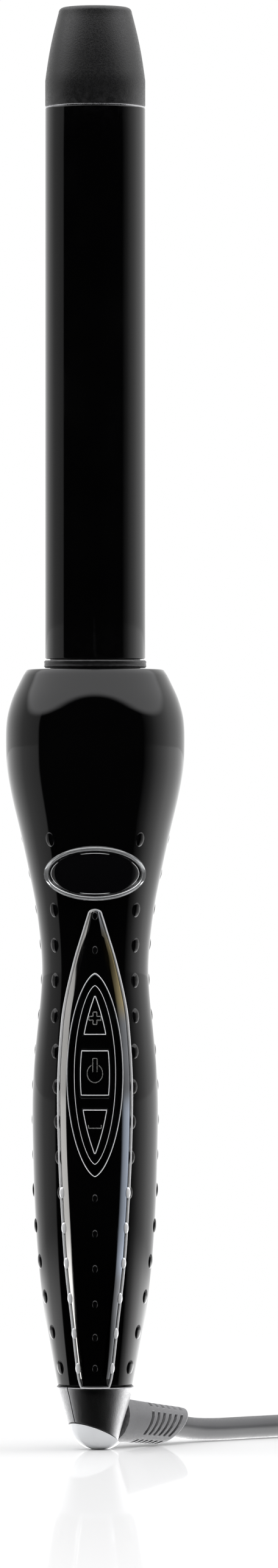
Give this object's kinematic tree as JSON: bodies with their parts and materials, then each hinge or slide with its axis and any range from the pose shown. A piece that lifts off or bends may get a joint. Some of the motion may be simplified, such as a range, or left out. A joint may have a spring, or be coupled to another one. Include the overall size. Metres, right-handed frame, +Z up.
{
  "type": "curling wand",
  "caption": "Clipless hair curling wand with a straight barrel and cool tip, a waisted grip with display window and keypad, and a swivel mains cord.",
  "frame": {"origin": "on the wand's own axis at the flat of its end plate, on the surface it stands on", "axes": "+Z up along the barrel to the cool tip, -Y towards the display and the buttons, +X to the side where the cord lies"},
  "size_m": [0.1792, 0.1145, 0.3662],
  "materials": {
    "gloss_black": "high gloss black moulding",
    "barrel_coat": "smooth glossy black coating",
    "matte_charcoal": "fine spark-eroded grain",
    "chrome": "bright plated",
    "smoked_lens": "polished dark window",
    "grey_rubber": "matte",
    "cord_grey": "satin sheath",
    "aluminium": "extruded",
    "steel": "zinc plated",
    "brass": "bright",
    "ceramic": "unglazed",
    "board_green": "solder mask",
    "part_black": "moulded",
    "film_yellow": "moulded",
    "silicone": "matte",
    "lead_white": "glass braid sleeve",
    "end_white": "polished plate"
  },
  "bodies": {
    "wand": {"barrel_tube": "barrel_coat", "cool_tip": "matte_charcoal", "tip_insulator": "ceramic", "tip_end_disc": "steel", "tip_screw": "steel", "barrel_collar": "matte_charcoal", "heater_block_front": "aluminium", "heater_block_rear": "aluminium", "ceramic_heater": "ceramic", "heater_spring": "steel", "thermistor": "ceramic", "thermal_fuse": "steel", "lead_fuse_to_heater": "lead_white", "lead_live_to_fuse": "lead_white", "lead_neutral": "lead_white", "lead_thermistor": "lead_white", "front_shell": "gloss_black", "rear_shell": "gloss_black", "shell_screw_upper": "steel", "shell_screw_lower": "steel", "display_bezel": "chrome", "display_lens": "smoked_lens", "display_lcd": "smoked_lens", "display_board": "board_green", "panel_trim": "chrome", "control_panel": "gloss_black", "keypad_bezel": "gloss_black", "keypad_plate": "gloss_black", "keypad_membrane": "silicone", "plus_switch": "part_black", "power_switch": "part_black", "minus_switch": "part_black", "main_board": "board_green", "power_triac": "part_black", "dropper_capacitor": "film_yellow", "smoothing_capacitor": "part_black", "control_chip": "part_black", "brush_holder": "part_black", "brush_live": "brass", "brush_neutral": "brass", "swivel_washer": "steel"},
    "swivel": {"swivel_spindle": "part_black", "slip_ring_live": "brass", "slip_ring_neutral": "brass", "swivel_cap_front": "matte_charcoal", "swivel_cap_rear": "matte_charcoal", "swivel_end_plate": "end_white", "cord_boot": "grey_rubber", "mains_cord": "cord_grey", "cord_coil": "cord_grey", "cord_tie": "silicone", "cord_tail": "cord_grey", "plug_body": "cord_grey", "plug_blade_narrow": "brass", "plug_blade_wide": "brass"},
    "plus_button": {"plus_button": "gloss_black"},
    "power_button": {"power_button": "gloss_black"},
    "minus_button": {"minus_button": "gloss_black"}
  },
  "joints": [
    {"name": "swivel_turn", "type": "hinge", "parent": "wand", "child": "swivel", "pos_m": [0, 0, 0.02], "axis": [0, 0, 1], "continuous": true},
    {"name": "plus_press", "type": "slide", "parent": "wand", "child": "plus_button", "axis": [0, 1, 0], "range_m": [0, 0.0005], "stiffness_N_per_m": 1200, "springref_m": -0.0005},
    {"name": "power_press", "type": "slide", "parent": "wand", "child": "power_button", "axis": [0, 1, 0], "range_m": [0, 0.0005], "stiffness_N_per_m": 1200, "springref_m": -0.0005},
    {"name": "minus_press", "type": "slide", "parent": "wand", "child": "minus_button", "axis": [0, 1, 0], "range_m": [0, 0.0005], "stiffness_N_per_m": 1200, "springref_m": -0.0005}
  ]
}
